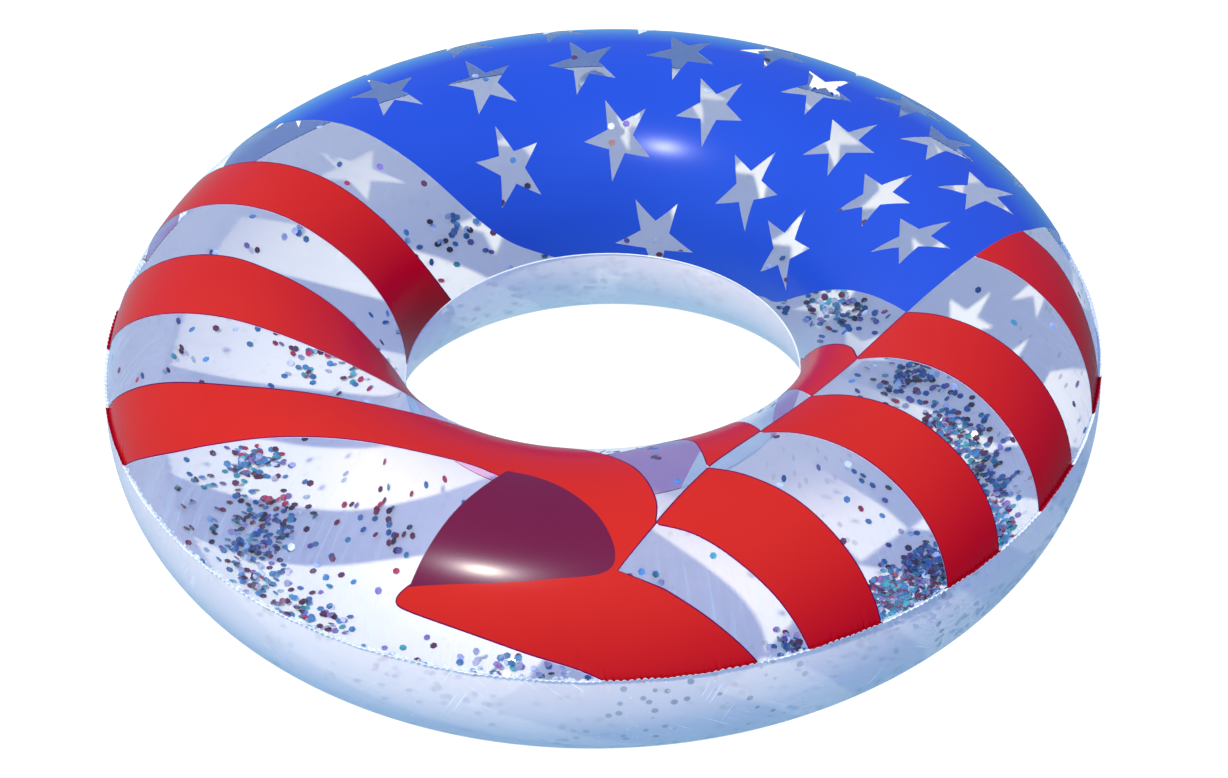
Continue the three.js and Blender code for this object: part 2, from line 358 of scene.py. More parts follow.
def subdivided(outline):
    """Outline with its long straight edges cut up, so that they follow the curved film."""
    points = []
    for start, end in zip(outline, np.roll(outline, -1, axis=0)):
        count = max(1, round(np.linalg.norm(end - start) / OUTLINE_STEP / 1.2))
        points += [start + (end - start) * k / count for k in range(count)]
    return np.array(points)


def grown(outline, distance):
    """Outline moved outwards by a small distance."""
    along = np.roll(outline, -1, axis=0) - np.roll(outline, 1, axis=0)
    normal = np.stack([along[:, 1], -along[:, 0]], axis=1) / np.linalg.norm(along, axis=1, keepdims=True)
    x, y = outline[:, 0], outline[:, 1]
    turn = np.sign(np.sum(x * np.roll(y, -1) - y * np.roll(x, -1)))
    return outline + normal * turn * distance


def inside(points, outline):
    """Which points lie inside a closed outline."""
    x, y = points[:, 0], points[:, 1]
    found = np.zeros(len(points), bool)
    for (ax, ay), (bx, by) in zip(outline, np.roll(outline, -1, axis=0)):
        if ay != by:
            crosses = (ay > y) != (by > y)
            found ^= crosses & (x < ax + (y - ay) * (bx - ax) / (by - ay))
    return found


def ink_at(points):
    """Ink printed at points of the flat sheet."""
    ink = np.zeros(len(points), int)
    for outline, index in printed_areas():
        ink[inside(points, outline)] = index
    return ink


# ---------------------------------------------------------------- panels

def circle(radius, count, phase=0.0):
    around = (np.arange(count) + phase) * 2 * math.pi / count
    return np.stack([radius * np.cos(around), radius * np.sin(around)], axis=1)


def sheet_points(seam_radius):
    """Grid over the flat sheet: dense rings beside the seam for the gathers, an even grid elsewhere."""
    rings = []
    full = PLEATS * STEPS_PER_PLEAT
    for depth, share in ((0.8, 1), (1.8, 1), (3.2, 0.7), (5, 0.5), (7.5, 0.4), (11, 0.3), (15, 0.2)):
        rings.append(circle(seam_radius - depth * MM, int(full * share), 0.5 * share))
    radius = seam_radius - 20 * MM
    while radius > HOLE_RADIUS + 3 * MM:
        count = int(2 * math.pi * radius / GRID_STEP)
        rings.append(circle(radius, count, (len(rings) * 0.618) % 1))
        radius -= GRID_STEP * 0.87
    return np.vstack(rings)


def clear_of(points, outlines, distance):
    """Points that are further than a distance from every outline's points."""
    marks = np.vstack(outlines)
    cell = distance * 2
    taken = {}
    for mark in marks:
        taken.setdefault((int(mark[0] // cell), int(mark[1] // cell)), []).append(mark)
    kept = []
    for point in points:
        i, j = int(point[0] // cell), int(point[1] // cell)
        close = [m for di in (-1, 0, 1) for dj in (-1, 0, 1) for m in taken.get((i + di, j + dj), ())]
        if all(math.hypot(m[0] - point[0], m[1] - point[1]) > distance for m in close):
            kept.append(point)
    return np.array(kept)


def valve_outline():
    """The valve's hole, in the bottom sheet."""
    count = 48
    flat = HOLE_RADIUS + ARC[-1]
    turn = np.arange(count) * 2 * math.pi / count
    around = math.pi / 2 + VALVE_HOLE * np.cos(turn) / (CENTRE_RADIUS + HALF_WIDTH)
    radius = flat + VALVE_HOLE * np.sin(turn)
    return np.stack([radius * np.cos(around), radius * np.sin(around)], axis=1)


def triangulate(loops, points):
    """Triangles over the sheet that keep every loop's segments."""
    vertices = []
    edges = []
    for loop in loops:
        first = len(vertices)
        vertices += [Vector(p) for p in loop]
        count = len(loop)
        edges += [(first + k, first + (k + 1) % count) for k in range(count)]
    vertices += [Vector(p) for p in points]
    made = delaunay_2d_cdt(vertices, edges, [], 0, 1e-7)
    flat = np.array([tuple(v) for v in made[0]])
    faces = np.array([f for f in made[2] if len(f) == 3])
    return flat, faces


def panel(name, side, areas, holes, back_of):
    """Closed film shell of one sheet, with a material index for each printed area and its back."""
    seam_radius = (TOP_FLAT_RADIUS if side > 0 else BOTTOM_FLAT_RADIUS) - EDGE_GAP
    rim = circle(seam_radius, PLEATS * STEPS_PER_PLEAT)
    bore = circle(HOLE_RADIUS + EDGE_GAP, 480)
    outlines = [outline for outline, _ in areas]
    loops = [rim, bore, *holes, *outlines]
    grid = clear_of(sheet_points(seam_radius), loops[1:], 1.6 * MM)
    flat, faces = triangulate(loops, grid)
    centres = flat[faces].mean(axis=1)
    keep = inside(centres, rim) & ~inside(centres, bore)
    for hole in holes:
        keep &= ~inside(centres, hole)
    faces, centres = faces[keep], centres[keep]
    ink = np.zeros(len(faces), int)
    for outline, index in areas:
        ink[inside(centres, outline)] = index
    used, faces = np.unique(faces, return_inverse=True)
    flat, faces = flat[used], faces.reshape(-1, 3)
    return film_shell(name, flat, faces, ink, np.array(back_of)[ink], side)


def film_shell(name, flat, faces, ink, back, side):
    """Outer and inner skins a film's thickness apart, joined round every free edge."""
    x, y = flat[:, 0], flat[:, 1]
    a, b, c = (flat[faces[:, k]] for k in range(3))
    turn = (b[:, 0] - a[:, 0]) * (c[:, 1] - a[:, 1]) - (b[:, 1] - a[:, 1]) * (c[:, 0] - a[:, 0])
    flip = turn * side < 0
    faces[flip] = faces[flip][:, ::-1]
    outer = film_point(x, y, side, 0)
    normal = film_normal(x, y, side)
    inner = outer - normal * FILM
    count = len(flat)
    skins = np.vstack([faces, faces[:, ::-1] + count])
    rim, rim_ink = free_edges(faces, ink)
    walls = np.stack([rim[:, 1], rim[:, 0], rim[:, 0] + count, rim[:, 1] + count], axis=1)
    mesh = bpy.data.meshes.new(name)
    mesh.from_pydata(np.vstack([outer, inner]).tolist(), [], skins.tolist() + walls.tolist())
    mesh.polygons.foreach_set("material_index", np.concatenate([ink, back, rim_ink]).astype(np.int32))
    mesh.polygons.foreach_set("use_smooth", np.ones(len(mesh.polygons), bool))
    mesh.normals_split_custom_set_from_vertices(np.vstack([normal, -normal]).tolist())
    return add_piece(name, mesh)


def free_edges(faces, ink):
    """Directed edges that only one face uses, with that face's ink."""
    edges = np.vstack([faces[:, [0, 1]], faces[:, [1, 2]], faces[:, [2, 0]]])
    owner = np.tile(ink, 3)
    keys = np.sort(edges, axis=1)
    _, index, counts = np.unique(keys, axis=0, return_index=True, return_counts=True)
    single = index[counts == 1]
    return edges[single], owner[single]


def add_piece(name, mesh):
    piece = bpy.data.objects.new(name, mesh)
    bpy.context.scene.collection.objects.link(piece)
    return piece


def swept_ring(name, sections, ink):
    """Closed ring through cross-sections given as stations by points by xyz, inked on its upper side only."""
    stations, corners, _ = sections.shape
    index = np.arange(stations * corners).reshape(stations, corners)
    after = np.roll(index, -1, axis=0)
    faces = np.stack([index, np.roll(index, -1, axis=1), np.roll(after, -1, axis=1), after], axis=-1)
    mesh = bpy.data.meshes.new(name)
    mesh.from_pydata(sections.reshape(-1, 3).tolist(), [], faces.reshape(-1, 4).tolist())
    mesh.polygons.foreach_set("use_smooth", np.ones(len(mesh.polygons), bool))
    face_ink = np.repeat(ink[:, None], corners, axis=1)
    face_ink[:, :corners // 2] = 0
    mesh.polygons.foreach_set("material_index", face_ink.ravel().astype(np.int32))
    return add_piece(name, mesh)


def seam(name, angle, width, curl, stations, gathered):
    """Welded flange of both films, curled up in lobes between the gathers."""
    around = np.arange(stations) * 2 * math.pi / stations
    turn = pleat_turn(around)
    lobe = np.abs(np.sin(math.pi * turn)) ** 0.7
    uneven = 0.8 + 0.2 * np.sin(around * 83 + 1) + 0.25 * np.sin(around * 29 + 2)
    root_dip = gathers(around, np.zeros(stations)) if gathered else np.zeros(stations)
    steps = 3
    half = FLANGE_THICKNESS / 2
    upper, lower = [], []
    for k in range(steps + 1):
        share = k / steps
        offset = -FILM + root_dip * (1 - share) + (width + FILM) * share * (0.75 + 0.25 * lobe)
        radius, height, normal_r, normal_z = section(angle, offset)
        lift = curl * uneven * (lobe - 0.2) * share ** 1.5
        rounded = half * (1 - 0.5 * share ** 4)
        for rows, side in ((upper, 1), (lower, -1)):
            move = lift + side * rounded
            r, z = radius - normal_z * move, height + normal_r * move
            rows.append(np.stack([r * np.cos(around), r * np.sin(around), z], axis=-1))
    flat_radius = TOP_FLAT_RADIUS if gathered else HOLE_RADIUS
    flat = flat_radius * np.stack([np.cos(around), np.sin(around)], axis=1)
    return swept_ring(name, np.stack(upper + lower[::-1], axis=1)[:, ::-1], ink_at(flat))


# ---------------------------------------------------------------- valve

def rounded(profile, radius):
    """Closed profile with each corner turned into a short curve."""
    curve = []
    for k, corner in enumerate(profile):
        neighbours = (profile[k - 1], corner, profile[(k + 1) % len(profile)])
        before, corner, after = (Vector(point) for point in neighbours)
        reach = min(radius, 0.45 * (before - corner).length, 0.45 * (after - corner).length)
        start = corner + (before - corner).normalized() * reach
        end = corner + (after - corner).normalized() * reach
        if corner.x < 1e-6:
            start = end = corner
        for t in (0, 0.33, 0.67, 1):
            curve.append(start * (1 - t) ** 2 + corner * 2 * t * (1 - t) + end * t ** 2)
    return curve


def turned(profile):
    """Solid of revolution about the valve's axis, along +Y."""
    curve = rounded(profile, EDGE_ROUND)
    made = bmesh.new()
    rings = []
    for k in range(VALVE_SIDES):
        turn = 2 * math.pi * k / VALVE_SIDES
        rings.append([made.verts.new((p.x * math.sin(turn), p.y, p.x * math.cos(turn))) for p in curve])
    for ring, following in zip(rings, rings[1:] + rings[:1]):
        for k in range(len(curve)):
            made.faces.new((ring[k - 1], ring[k], following[k], following[k - 1]))
    bmesh.ops.remove_doubles(made, verts=made.verts, dist=0.001)
    bmesh.ops.dissolve_degenerate(made, dist=0.0005, edges=made.edges)
    return made


def bar(width, low, high, start, end):
    """Flat strap or tab with rounded edges, between two heights, from start to end along its length."""
    made = bmesh.new()
    place = Matrix.Translation((0, (low + high) / 2, (start + end) / 2)) \
        @ Matrix.Diagonal((width, high - low, abs(end - start), 1))
    bmesh.ops.create_cube(made, size=1, matrix=place)
    bmesh.ops.bevel(made, geom=made.edges, offset=0.25 * (high - low), segments=3, profile=0.5,
                    affect="EDGES")
    return made


def pin(width, radius, height, along):
    """Round root of a strap, across its width."""
    made = bmesh.new()
    place = Matrix.Translation((0, height, along)) @ Matrix.Rotation(math.pi / 2, 4, "Y")
    bmesh.ops.create_cone(made, cap_ends=True, segments=24, radius1=radius, radius2=radius, depth=width,
                          matrix=place)
    return made


def fused(name, *solids):
    """One closed piece from overlapping solids given in the valve's millimetres."""
    pieces = []
    for solid in solids:
        bmesh.ops.recalc_face_normals(solid, faces=solid.faces)
        mesh = bpy.data.meshes.new(name)
        solid.to_mesh(mesh)
        solid.free()
        pieces.append(add_piece(name, mesh))
    first = pieces[0]
    for other in pieces[1:]:
        union = first.modifiers.new("union", "BOOLEAN")
        union.operation = "UNION"
        union.solver = "EXACT"
        union.object = other
    if len(pieces) > 1:
        bpy.context.view_layer.update()
        evaluated = first.evaluated_get(bpy.context.evaluated_depsgraph_get())
        joined = bpy.data.meshes.new_from_object(evaluated)
        first.modifiers.clear()
        first.data = joined
    for other in pieces[1:]:
        bpy.data.objects.remove(other)
    mesh = first.data
    mesh.transform(Matrix.Translation((VALVE_MID.x, SEAT_Y, VALVE_MID.z)) @ Matrix.Scale(MM, 4))
    mesh.polygons.foreach_set("use_smooth", np.ones(len(mesh.polygons), bool))
    mesh.set_sharp_from_angle(angle=math.radians(40))
    first.name = name
    return first


def valve_socket():
    """Flange inside the film, with the rim through it and the well that the stem slides in."""
    return fused("valve_socket", turned([
        (WELL_INNER, RIM_HEIGHT), (RIM_OUTER, RIM_HEIGHT), (RIM_OUTER, FLANGE_TOP),
        (FLANGE_RADIUS, FLANGE_TOP), (FLANGE_RADIUS, FLANGE_FOOT), (WELL_OUTER, FLANGE_FOOT),
        (WELL_OUTER, WELL_FOOT), (WELL_LIP, WELL_FOOT), (WELL_LIP, WELL_FOOT + 1),
        (WELL_INNER, WELL_FOOT + 1)]))


def valve_tube():
    """Stem with its collar, its inner stop and the lug that the strap hangs from."""
    return fused("valve_tube", turned([
        (STEM_BORE, COLLAR_TOP), (COLLAR_RADIUS, COLLAR_TOP), (COLLAR_RADIUS, COLLAR_FOOT),
        (STEM_OUTER, COLLAR_FOOT), (STEM_OUTER, STOP_TOP), (STOP_RADIUS, STOP_TOP),
        (STOP_RADIUS, STEM_FOOT), (STEM_BORE, STEM_FOOT)]),
        bar(LUG_WIDTH, COLLAR_FOOT, COLLAR_TOP, -6, -LUG_REACH))


def valve_stopper():
    """Plug with a dished head, a tapered shank and a pull tab."""
    return fused("valve_stopper", turned([
        (0, HEAD_TOP - 0.4), (3.8, HEAD_TOP - 0.4), (4.4, HEAD_TOP), (HEAD_RADIUS, HEAD_TOP),
        (HEAD_RADIUS, HEAD_FOOT), (SHANK_ROOT, HEAD_FOOT), (SHANK_TIP, HEAD_FOOT - SHANK_LENGTH),
        (0, HEAD_FOOT - SHANK_LENGTH)]),
        bar(TAB_WIDTH, HEAD_TOP - 1, HEAD_TOP, 4.6, TAB_REACH))


def stopper_strap():
    """Strap from the plug's head to its hinge on the lug."""
    return fused("stopper_strap",
                 bar(TETHER_WIDTH, HEAD_FOOT, HEAD_FOOT + TETHER_THICKNESS, -5.63, -TETHER_HINGE),
                 pin(TETHER_WIDTH, TETHER_THICKNESS / 2, HEAD_FOOT + TETHER_THICKNESS / 2, -TETHER_HINGE))


def inner_flap():
    """Disc that shuts the stem's inner end, with its hinge strap."""
    low, high = FLAP_MID - FLAP_HALF, FLAP_MID + FLAP_HALF
    return fused("inner_flap", turned([(0, high), (FLAP_RADIUS, high), (FLAP_RADIUS, low), (0, low)]),
                 bar(FLAP_WIDTH, low, high, -3.6, -FLAP_HINGE),
                 pin(FLAP_WIDTH, FLAP_HALF, FLAP_MID, -FLAP_HINGE))


def valve_pieces():
    """The valve's pieces with the body each rides on and the CAD node it stands for."""
    return ((valve_socket(), "ring", "valve_base"), (valve_tube(), "stem", "valve_stem"),
            (valve_stopper(), "plug", "valve_plug"), (stopper_strap(), "plug", "plug_tether"),
            (inner_flap(), "flap", "check_flap"))


# ---------------------------------------------------------------- glitter

FLAKE_RADIUS = 2.7 * MM
FLAKE_THICKNESS = 0.12 * MM
FLAKE_COLOURS = ("blue", "violet", "crimson", "maroon", "aqua", "silver")
USUAL_MIX = (0.34, 0.12, 0.07, 0.19, 0.12, 0.16)
WARM_MIX = (0.1, 0.06, 0.38, 0.32, 0.07, 0.07)
PALE_MIX = (0.1, 0.1, 0, 0.05, 0.1, 0.65)
COOL_MIX = (0.5, 0.1, 0, 0.2, 0.2, 0)

# Heaps of flakes: degrees round the ring and the section, the spread of each, count and colour mix.
DRIFTS = [
    (173, -85, 2.1, 6, 96, USUAL_MIX), (180, -79, 2, 7, 16, USUAL_MIX), (184, -92, 1.6, 7, 24, WARM_MIX),
    (190, -88, 3.2, 9, 110, USUAL_MIX), (197, -76, 2.5, 7, 48, USUAL_MIX), (203, -79, 2.4, 8, 46, USUAL_MIX),
    (210, -83, 2, 6, 36, USUAL_MIX), (217, -87, 2, 6, 38, USUAL_MIX), (207, -133, 7, 9, 30, WARM_MIX),
    (184, -60, 5, 4, 8, WARM_MIX), (24, -89, 4, 10, 130, USUAL_MIX), (11, -88, 3, 7, 120, USUAL_MIX),
    (1, -80, 4.5, 6, 150, USUAL_MIX), (350, -69, 3.5, 3.5, 70, USUAL_MIX),
    (343, -64, 2.5, 2.5, 56, USUAL_MIX),
    (326, -87, 3.2, 7.5, 420, USUAL_MIX), (334, -88, 3, 5, 190, USUAL_MIX), (47, -82, 4, 8, 76, USUAL_MIX),
    (144, -91, 4, 12, 70, USUAL_MIX), (122, -100, 3.5, 7, 34, USUAL_MIX), (303, -102, 2, 3, 26, USUAL_MIX),
    (110, -55, 4, 6, 28, USUAL_MIX), (160, -37, 6, 9, 9, USUAL_MIX), (142, -24, 6, 9, 9, USUAL_MIX),
    (273, -140, 12, 4, 14, USUAL_MIX), (70, -88, 9, 10, 60, USUAL_MIX), (96, -90, 9, 10, 50, USUAL_MIX),
    (314, -90, 3, 7, 60, USUAL_MIX), (240, -92, 9, 9, 26, USUAL_MIX), (326, -27, 11, 9, 60, COOL_MIX),
    (250, -106, 6, 3, 36, PALE_MIX), (264, 158, 9, 10, 26, USUAL_MIX),
]
STRAYS_LOW = 300
STRAYS_HIGH = 150


def flake_places():
    """Angles round the ring and the section, depth below the film, tilt and colour of every flake."""
    rows = []
    for around, angle, wide, deep, count, mix in DRIFTS:
        heap = rng.normal(0, 1, (count, 2))
        lift = rng.uniform(0.5, 4, count) * np.exp(-0.5 * (heap ** 2).sum(axis=1))
        rows.append(flake_rows(around + wide * heap[:, 0], angle + deep * heap[:, 1], 0.6 + lift, 12, mix))
    for count, angles, tilt in ((STRAYS_LOW, rng.normal(-88, 32, STRAYS_LOW), 5),
                                (STRAYS_HIGH, rng.uniform(20, 160, STRAYS_HIGH), 3)):
        rows.append(flake_rows(rng.uniform(0, 360, count), angles, 0.6, tilt, USUAL_MIX))
    return np.vstack(rows)


def flake_rows(around, angle, depth, tilt, mix):
    colour = rng.choice(len(FLAKE_COLOURS), len(around), p=mix)
    steep = np.where(colour == FLAKE_COLOURS.index("silver"), 1.9 * tilt, tilt)
    return np.stack(np.broadcast_arrays(around, angle, depth, steep, colour), axis=1)


def near_valve(around, angle):
    return (abs((around - 90 + 180) % 360 - 180) < 8) & (abs((angle + 180) % 360 - 180) < 22)


def glitter():
    """One mesh of loose hexagonal flakes for each foil colour."""
    places = flake_places()
    places = places[~near_valve(places[:, 0], places[:, 1])]
    return [flake_mesh(f"loose_glitter_{name}", places[places[:, 4] == index, :4])
            for index, name in enumerate(FLAKE_COLOURS)]


def flake_mesh(name, places):
    vertices, faces = [], []
    for around, angle, depth, tilt in places:
        around, angle = math.radians(around), math.radians(angle)
        _, _, normal_r, normal_z = section(angle, 0)
        normal = Vector((normal_r * math.cos(around), normal_r * math.sin(around), normal_z))
        facing = (normal + Vector(rng.normal(0, math.radians(tilt), 3))).normalized()
        size = FLAKE_RADIUS * rng.uniform(0.9, 1.06)
        depth = max(depth * MM, 1.5 * FILM + size * normal.cross(facing).length)
        radius, height, _, _ = section(angle, -depth)
        centre = Vector((radius * math.cos(around), radius * math.sin(around), max(height, depth)))
        turn = facing.to_track_quat("Z", "Y").to_matrix()
        spin = rng.uniform(0, math.pi)
        first = len(vertices)
        for side in (-0.5, 0.5):
            for k in range(6):
                around_flake = spin + k * math.pi / 3
                corner = Vector((size * math.cos(around_flake), size * math.sin(around_flake),
                                 side * FLAKE_THICKNESS))
                vertices.append(centre + turn @ corner)
        faces.append([first + 5 - k for k in range(6)])
        faces.append([first + 6 + k for k in range(6)])
        faces += [[first + k, first + (k + 1) % 6, first + 6 + (k + 1) % 6, first + 6 + k] for k in range(6)]
    mesh = bpy.data.meshes.new(name)
    mesh.from_pydata(vertices, [], faces)
    return add_piece(name, mesh)


# ---------------------------------------------------------------- materials

def srgb(r, g, b):
    """Linear colour from an 8-bit display colour."""
    def linear(v):
        v /= 255
        return v / 12.92 if v <= 0.04045 else ((v + 0.055) / 1.055) ** 2.4
    return (linear(r), linear(g), linear(b), 1)


class Nodes:
    """Short calls that add nodes to a tree and feed its surface node."""

    def __init__(self, tree, surface):
        self.tree = tree
        self.surface = tree.nodes[surface]

    def set(self, **values):
        for socket, value in values.items():
            self.surface.inputs[socket.replace("_", " ")].default_value = value
        return self

    def node(self, kind, **inputs):
        made = self.tree.nodes.new(kind)
        for socket, value in inputs.items():
            self.feed(made.inputs[socket.replace("_", " ")], value)
        return made

    def feed(self, socket, value):
        if isinstance(value, bpy.types.NodeSocket):
            self.tree.links.new(value, socket)
        else:
            socket.default_value = value

    def link(self, socket, value):
        self.feed(self.surface.inputs[socket], value)
        return self

    def place(self):
        return self.tree.nodes.new("ShaderNodeTexCoord").outputs["Object"]

    def noise(self, scale, detail=3.0, roughness=0.5, vector=None):
        made = self.node("ShaderNodeTexNoise", Vector=vector or self.place(), Scale=scale, Detail=detail,
                         Roughness=roughness)
        return made.outputs["Fac"]

    def cells(self, scale, vector):
        return self.node("ShaderNodeTexVoronoi", Vector=vector, Scale=scale).outputs["Distance"]

    def range(self, value, low, high, to_low, to_high):
        made = self.node("ShaderNodeMapRange", Value=value, From_Min=low, From_Max=high, To_Min=to_low,
                         To_Max=to_high)
        return made.outputs["Result"]

    def mix(self, factor, first, second):
        made = self.tree.nodes.new("ShaderNodeMix")
        made.data_type = "RGBA"
        self.feed(made.inputs["Factor"], factor)
        sockets = [s for s in made.inputs if s.type == "RGBA"]
        self.feed(sockets[0], first)
        self.feed(sockets[1], second)
        return [s for s in made.outputs if s.type == "RGBA"][0]

    def dot(self, vector, direction):
        made = self.tree.nodes.new("ShaderNodeVectorMath")
        made.operation = "DOT_PRODUCT"
        self.feed(made.inputs[0], vector)
        made.inputs[1].default_value = direction
        return made.outputs["Value"]

    def math(self, operation, first, second):
        made = self.tree.nodes.new("ShaderNodeMath")
        made.operation = operation
        self.feed(made.inputs[0], first)
        self.feed(made.inputs[1], second)
        return made.outputs[0]

    def radius(self, place):
        """Distance from the ring's upright axis."""
        made = self.tree.nodes.new("ShaderNodeVectorMath")
        made.operation = "LENGTH"
        self.feed(made.inputs[0], self.node("ShaderNodeCombineXYZ", X=self.dot(place, (1, 0, 0)),
                                            Y=self.dot(place, (0, 1, 0))).outputs["Vector"])
        return made.outputs["Value"]

    def bump(self, height, strength, distance):
        made = self.node("ShaderNodeBump", Height=height, Strength=strength, Distance=distance)
        return self.link("Normal", made.outputs["Normal"])


class Shader(Nodes):
    """A material with a Principled surface."""

    def __init__(self, name):
        self.material = bpy.data.materials.new(name)
        self.material.use_nodes = True
        super().__init__(self.material.node_tree, "Principled BSDF")


def clear_film(name, wall_tint):
    """Clear film, cyan at grazing angles and down the hole's wall, with the weld's white haze at its edge."""
    shader = Shader(name).set(Roughness=0.08, IOR=1.45)
    place = shader.place()
    edge = shader.node("ShaderNodeLayerWeight", Blend=0.25).outputs["Facing"]
    tint = shader.mix(shader.noise(14), srgb(150, 208, 236), srgb(186, 226, 244))
    height = shader.dot(place, (0, 0, 1))
    beside = shader.range(height, WELD_HEIGHT, WELD_HEIGHT + 4 * MM, 0.6, 0.0)
    outside = shader.math("GREATER_THAN", shader.radius(place), CENTRE_RADIUS)
    ragged = shader.math("ADD", beside, shader.range(shader.noise(300, 2), 0.3, 0.7, -0.35, 0.35))
    turn = shader.math("ARCTAN2", shader.dot(place, (0, 1, 0)), shader.dot(place, (1, 0, 0)))
    fan = shader.node("ShaderNodeCombineXYZ", X=shader.math("MULTIPLY", turn, 70),
                      Y=shader.math("MULTIPLY", height, 12)).outputs["Vector"]
    streak = shader.range(shader.noise(1, 4, 0.65, fan), 0.5, 0.78, 0, 0.13)
    streak = shader.math("MULTIPLY", streak, shader.range(shader.radius(place), 0.28, 0.34, 0.15, 1))
    haze = shader.math("MULTIPLY", outside, shader.range(ragged, 0.35, 0.6, 0.0, 1.0))
    shader.link("Base Color", shader.mix(haze, tint, srgb(226, 236, 250)))
    clear = shader.math("ADD", shader.range(edge, 0.45, 1.0, 0.015, 0.34), streak)
    wall = shader.range(height, MID_HEIGHT + 0.3 * HALF_HEIGHT, MID_HEIGHT + 0.75 * HALF_HEIGHT, wall_tint, 0)
    hidden = shader.tree.nodes.new("ShaderNodeNewGeometry").outputs["Backfacing"]
    shown = shader.range(shader.math("MAXIMUM", hidden, outside), 0, 1, 1, 0)
    clear = shader.math("ADD", clear, shader.math("MULTIPLY", wall, shown))
    shader.link("Alpha", shader.range(haze, 0.0, 1.0, clear, 0.6))
    return shader.bump(shader.noise(60, 4), 0.05, 0.001).material


def ink(name, deep, bright, painted_shade=None, rim=None, gloss=0.15, coat=0.0):
    """Printed colour, mottled between two tones, with a painted shade tone on faces turned away from the sun,
    and a cyan tone at its outline that is partly the film's own tint seen edge-on and partly a painted
    reflection of the sky.
    """
    shader = Shader(name).set(Roughness=0.25, IOR=1.3, Specular_IOR_Level=gloss)
    shader.set(Specular_Tint=(0.42, 0.5, 1, 1), Coat_Weight=coat, Coat_Roughness=0.17, Coat_IOR=1.45)
    body = shader.mix(shader.noise(9), deep, bright)
    # Painted shade: this colour takes over the print on faces turned away from the sun.
    if painted_shade:
        facing = shader.dot(shader.tree.nodes.new("ShaderNodeNewGeometry").outputs["Normal"], SUN_FROM)
        body = shader.mix(shader.range(facing, 0.3, 0.9, 1, 0), body, painted_shade)
    # Cyan at grazing angles: partly the film's own tint seen edge-on, partly a painted reflection of the blue
    # sky.
    if rim:
        turned_away = shader.node("ShaderNodeLayerWeight", Blend=0.5).outputs["Facing"]
        body = shader.mix(shader.range(turned_away, 0.6, 0.95, 0, 0.7), body, rim)
    shader.link("Base Color", body)
    return shader.bump(shader.noise(900, 2), 0.06, 0.0004).material


def strokes(shader, sheet, turn):
    """Fine parallel scratches in a few small patches, at an angle across the sheet."""
    across = shader.dot(sheet, (500 * math.cos(turn), 500 * math.sin(turn), 0))
    along = shader.dot(sheet, (-12 * math.sin(turn), 12 * math.cos(turn), 0))
    line = shader.cells(1, shader.node("ShaderNodeCombineXYZ", X=across, Y=along).outputs["Vector"])
    moved = shader.node("ShaderNodeMapping", Vector=sheet, Location=(turn, 0, 0)).outputs["Vector"]
    patch = shader.range(shader.noise(22, 1, vector=moved), 0.6, 0.68, 0, 1)
    return shader.math("MULTIPLY", shader.range(line, 0.12, 0.24, 0.9, 0), patch)


def creases(shader, place):
    """Faint scratches in two directions, and a few tiny white specks."""
    turn = shader.math("ARCTAN2", shader.dot(place, (0, 1, 0)), shader.dot(place, (1, 0, 0)))
    sheet = shader.node("ShaderNodeCombineXYZ", X=shader.math("MULTIPLY", turn, CENTRE_RADIUS + HALF_WIDTH),
                        Y=shader.dot(place, (0, 0, 1))).outputs["Vector"]
    scratch = shader.math("MAXIMUM", strokes(shader, sheet, 0.9), strokes(shader, sheet, -0.5))
    speck = shader.math("MULTIPLY", shader.range(shader.cells(150, place), 0.06, 0.12, 0.8, 0),
                        shader.range(shader.noise(28, 1), 0.54, 0.6, 0, 1))
    return shader.math("MAXIMUM", scratch, speck)


def clinging(shader, place):
    """Flakes that cling to the inside of the milky film and show through it, most of them at the right."""
    disc = shader.range(shader.cells(90, place), 0.19, 0.25, 1, 0)
    patch = shader.range(shader.noise(11, 1), 0.5, 0.58, 0, 1)
    side = shader.range(shader.dot(place, (0.8, -0.6, 0)), 0.1, 0.25, 0.1, 0.75)
    return shader.math("MULTIPLY", disc, shader.math("MULTIPLY", patch, side))


def milky_film(name, low, high, hole):
    """Translucent white film, with painted shade making it darker and bluer towards the floor, and painted
    light making it whitest round the hole.
    """
    shader = Shader(name).set(IOR=1.5, Specular_IOR_Level=0.35, Coat_Weight=0.12, Coat_Roughness=0.12)
    place = shader.place()
    height = shader.dot(place, (0, 0, 1))
    # Painted shade: darker and bluer towards the floor.
    body = shader.mix(shader.range(height, 0.015, 0.085, 0.0, 1.0), low, high)
    # Painted light: whitest round the hole.
    body = shader.mix(shader.range(shader.radius(place), 0.165, 0.215, 1.0, 0.0), body, hole)
    cloudy = shader.range(shader.noise(12), 0.3, 0.7, 0, 0.16)
    body = shader.mix(cloudy, body, srgb(226, 228, 240))
    body = shader.mix(clinging(shader, place), body, srgb(96, 128, 150))
    shader.link("Base Color", shader.mix(creases(shader, place), body, srgb(242, 246, 255)))
    shader.link("Roughness", shader.range(shader.noise(40), 0.3, 0.7, 0.28, 0.4))
    shader.set(Alpha=0.58)
    return shader.bump(shader.noise(150, 5), 0.08, 0.001).material


def weld_film():
    shader = Shader("weld_film").set(Roughness=0.3, IOR=1.5, Alpha=0.85)
    shader.link("Base Color", shader.mix(shader.noise(220), srgb(200, 222, 242), srgb(236, 242, 252)))
    return shader.material


def foil(name, colour):
    shader = Shader(name).set(Metallic=0.8 if "silver" in name else 0.15, Roughness=0.16)
    bright = tuple(min(1, c * 1.5 + 0.005) for c in colour[:3]) + (1,)
    shader.link("Base Color", shader.mix(shader.range(shader.noise(160, 1), 0.4, 0.6, 0, 1), colour, bright))
    return shader.material


